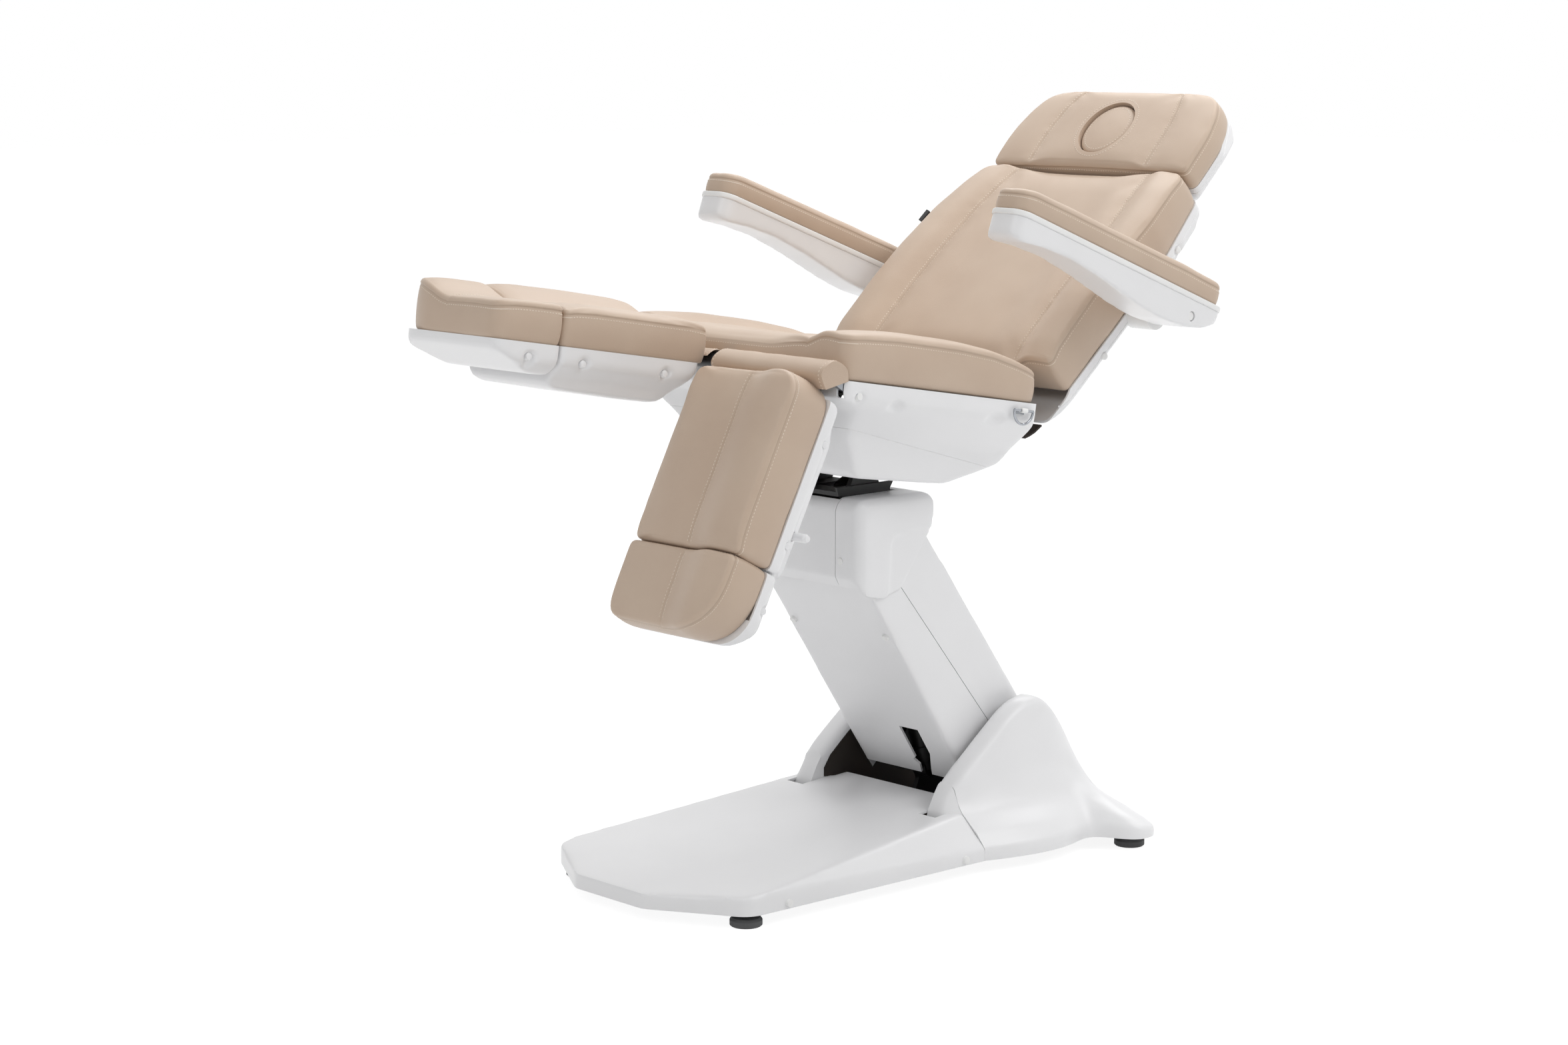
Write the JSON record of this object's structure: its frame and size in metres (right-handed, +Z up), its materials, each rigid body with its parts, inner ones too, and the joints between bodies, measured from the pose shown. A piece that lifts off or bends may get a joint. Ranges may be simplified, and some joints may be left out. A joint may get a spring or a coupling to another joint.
{
  "type": "podiatry chair",
  "caption": "Electric podiatry chair with parallelogram lifting column, tilting seat, folding back, sliding headrest, armrests and split leg rests in tan leather on a white moulded base.",
  "frame": {"origin": "centre of the footprint at floor level", "axes": "+X from the feet towards the headrest, +Y to the sitter's right, +Z up"},
  "size_m": [1.5667, 0.81, 1.3425],
  "materials": {
    "cover_white": "satin moulded",
    "leather_tan": "matt grained",
    "frame_black": "powder coat",
    "steel": "satin",
    "chrome": "polished",
    "rubber_grey": "matt",
    "plastic_black": "matt"
  },
  "bodies": {
    "base": {"base_front_cover": "cover_white", "base_rear_cover": "cover_white", "base_frame": "steel", "lift_tower": "frame_black", "mains_inlet": "plastic_black", "control_box": "plastic_black"},
    "foot_fl": {"foot_front_left": "rubber_grey"},
    "foot_fr": {"foot_front_right": "rubber_grey"},
    "foot_rl": {"foot_rear_left": "rubber_grey"},
    "foot_rr": {"foot_rear_right": "rubber_grey"},
    "column": {"lift_arm": "steel", "column_front_cover": "cover_white", "column_rear_cover": "cover_white"},
    "link": {"level_link": "steel"},
    "lift_motor_body": {"lift_motor": "plastic_black"},
    "lift_rod_body": {"lift_rod": "chrome"},
    "column_head": {"head_block": "frame_black", "knuckle_front_cover": "cover_white", "knuckle_left_cover": "cover_white", "knuckle_right_cover": "cover_white"},
    "seat": {"seat_frame": "steel", "seat_shell": "cover_white", "seat_cushion": "leather_tan", "back_motor": "plastic_black"},
    "tilt_motor_body": {"tilt_motor": "plastic_black"},
    "tilt_rod_body": {"tilt_rod": "chrome"},
    "back_rod_body": {"back_rod": "chrome"},
    "ring_left": {"left_ring": "chrome"},
    "ring_right": {"right_ring": "chrome"},
    "back": {"back_frame": "frame_black", "back_shell": "cover_white", "back_cushion": "leather_tan", "rear_apron": "cover_white", "handset_hook": "plastic_black"},
    "head_carriage": {"head_slide": "chrome"},
    "head": {"head_shell": "cover_white", "head_cushion": "leather_tan"},
    "plug": {"face_plug": "leather_tan"},
    "armrest_left": {"left_armrest_shell": "cover_white", "left_armrest_pad": "leather_tan"},
    "armrest_right": {"right_armrest_shell": "cover_white", "right_armrest_pad": "leather_tan"},
    "leg_left": {"left_leg_frame": "frame_black", "left_leg_shell": "cover_white", "left_leg_cushion": "leather_tan", "left_flap": "leather_tan"},
    "leg_right": {"right_leg_frame": "frame_black", "right_leg_shell": "cover_white", "right_leg_cushion": "leather_tan", "right_flap": "leather_tan"},
    "footrest_left": {"left_foot_rods": "chrome", "left_foot_shell": "cover_white", "left_foot_cushion": "leather_tan"},
    "footrest_right": {"right_foot_rods": "chrome", "right_foot_shell": "cover_white", "right_foot_cushion": "leather_tan"},
    "knob_left": {"left_knob": "cover_white"},
    "knob_right": {"right_knob": "cover_white"}
  },
  "joints": [
    {"name": "foot_front_left_screw", "type": "slide", "parent": "base", "child": "foot_fl", "axis": [0, 0, -1], "range_m": [0, 0.012]},
    {"name": "foot_front_right_screw", "type": "slide", "parent": "base", "child": "foot_fr", "axis": [0, 0, -1], "range_m": [0, 0.012]},
    {"name": "foot_rear_left_screw", "type": "slide", "parent": "base", "child": "foot_rl", "axis": [0, 0, -1], "range_m": [0, 0.012]},
    {"name": "foot_rear_right_screw", "type": "slide", "parent": "base", "child": "foot_rr", "axis": [0, 0, -1], "range_m": [0, 0.012]},
    {"name": "lift", "type": "hinge", "parent": "base", "child": "column", "pos_m": [0.232, 0, 0.195], "axis": [0, 1, 0], "range_deg": [-42, 0]},
    {"name": "level_link_turn", "type": "hinge", "parent": "base", "child": "link", "pos_m": [0.271, 0, 0.223], "axis": [0, 1, 0], "range_deg": [-42, 0]},
    {"name": "column_head_turn", "type": "hinge", "parent": "column", "child": "column_head", "pos_m": [-0.05254, 0, 0.59392], "axis": [0, 1, 0], "range_deg": [0, 42]},
    {"name": "lift_motor_swing", "type": "hinge", "parent": "base", "child": "lift_motor_body", "pos_m": [0.182, 0, 0.129], "axis": [0, 1, 0], "range_deg": [-37.6, 0]},
    {"name": "lift_rod_stroke", "type": "slide", "parent": "lift_motor_body", "child": "lift_rod_body", "axis": [-0.3133, 0, 0.9496], "range_m": [-0.0565, 0]},
    {"name": "tilt", "type": "hinge", "parent": "column_head", "child": "seat", "pos_m": [-0.05254, 0, 0.71492], "axis": [0, 1, 0], "range_deg": [-9.4, 6]},
    {"name": "tilt_motor_swing", "type": "hinge", "parent": "column_head", "child": "tilt_motor_body", "pos_m": [-0.05254, 0, 0.65492], "axis": [0, 1, 0], "range_deg": [-8, 5.1]},
    {"name": "tilt_rod_stroke", "type": "slide", "parent": "tilt_motor_body", "child": "tilt_rod_body", "axis": [0.8997, 0, 0.4365], "range_m": [-0.0057, 0.0088]},
    {"name": "recline", "type": "hinge", "parent": "seat", "child": "back", "pos_m": [0.21236, 0, 0.815], "axis": [0, 1, 0], "range_deg": [-25, 49.5], "deforming": ["rear_apron"]},
    {"name": "back_rod_stroke", "type": "slide", "parent": "seat", "child": "back_rod_body", "axis": [0.9866, 0, -0.1633], "range_m": [-0.0493, 0.0249]},
    {"name": "headrest_height", "type": "slide", "parent": "back", "child": "head_carriage", "axis": [0.7649, 0, 0.6441], "range_m": [0, 0.08]},
    {"name": "headrest_tilt", "type": "hinge", "parent": "head_carriage", "child": "head", "pos_m": [0.65614, 0, 1.17127], "axis": [0, 1, 0], "range_deg": [0, 22]},
    {"name": "face_plug_lift", "type": "slide", "parent": "head", "child": "plug", "axis": [-0.6959, 0, 0.7181], "range_m": [0, 0.1]},
    {"name": "armrest_left_turn", "type": "hinge", "parent": "back", "child": "armrest_left", "pos_m": [0.42207, -0.365, 0.96805], "axis": [0, 1, 0], "range_deg": [-15, 70]},
    {"name": "armrest_right_turn", "type": "hinge", "parent": "back", "child": "armrest_right", "pos_m": [0.42207, 0.365, 0.96805], "axis": [0, 1, 0], "range_deg": [-15, 70]},
    {"name": "leg_left_fold", "type": "hinge", "parent": "seat", "child": "leg_left", "pos_m": [-0.32204, 0, 0.91157], "axis": [0, 1, 0], "range_deg": [0, 71.75], "deforming": ["left_flap"]},
    {"name": "leg_right_fold", "type": "hinge", "parent": "seat", "child": "leg_right", "pos_m": [-0.32204, 0, 0.91157], "axis": [0, 1, 0], "range_deg": [-71.75, 0], "deforming": ["right_flap"]},
    {"name": "foot_left_slide", "type": "slide", "parent": "leg_left", "child": "footrest_left", "axis": [-0.4641, 0, -0.8858], "range_m": [0, 0.1]},
    {"name": "foot_right_slide", "type": "slide", "parent": "leg_right", "child": "footrest_right", "axis": [-0.9866, 0, 0.1633], "range_m": [0, 0.1]},
    {"name": "knob_left_turn", "type": "hinge", "parent": "leg_left", "child": "knob_left", "pos_m": [-0.3901, -0.24, 0.64807], "axis": [0, 1, 0], "range_deg": [0, 180]},
    {"name": "knob_right_turn", "type": "hinge", "parent": "leg_right", "child": "knob_right", "pos_m": [-0.59361, 0.24, 0.89369], "axis": [0, 1, 0], "range_deg": [0, 180]},
    {"name": "ring_left_swing", "type": "hinge", "parent": "seat", "child": "ring_left", "pos_m": [0.11437, -0.292, 0.81703], "axis": [0.9866, 0, -0.1633], "range_deg": [-75, 0]},
    {"name": "ring_right_swing", "type": "hinge", "parent": "seat", "child": "ring_right", "pos_m": [0.11437, 0.292, 0.81703], "axis": [0.9866, 0, -0.1633], "range_deg": [0, 75]}
  ],
  "couplings": [
    {"joint": "level_link_turn", "follows": "lift", "ratio": 1},
    {"joint": "column_head_turn", "follows": "lift", "ratio": -1},
    {"joint": "lift_motor_swing", "follows": "lift", "ratio": 0.8905},
    {"joint": "lift_rod_stroke", "follows": "lift", "m_per_rad": 0.07685},
    {"joint": "tilt_motor_swing", "follows": "tilt", "ratio": 0.8413},
    {"joint": "tilt_rod_stroke", "follows": "tilt", "m_per_rad": -0.05326},
    {"joint": "back_rod_stroke", "follows": "recline", "m_per_rad": -0.0569}
  ]
}
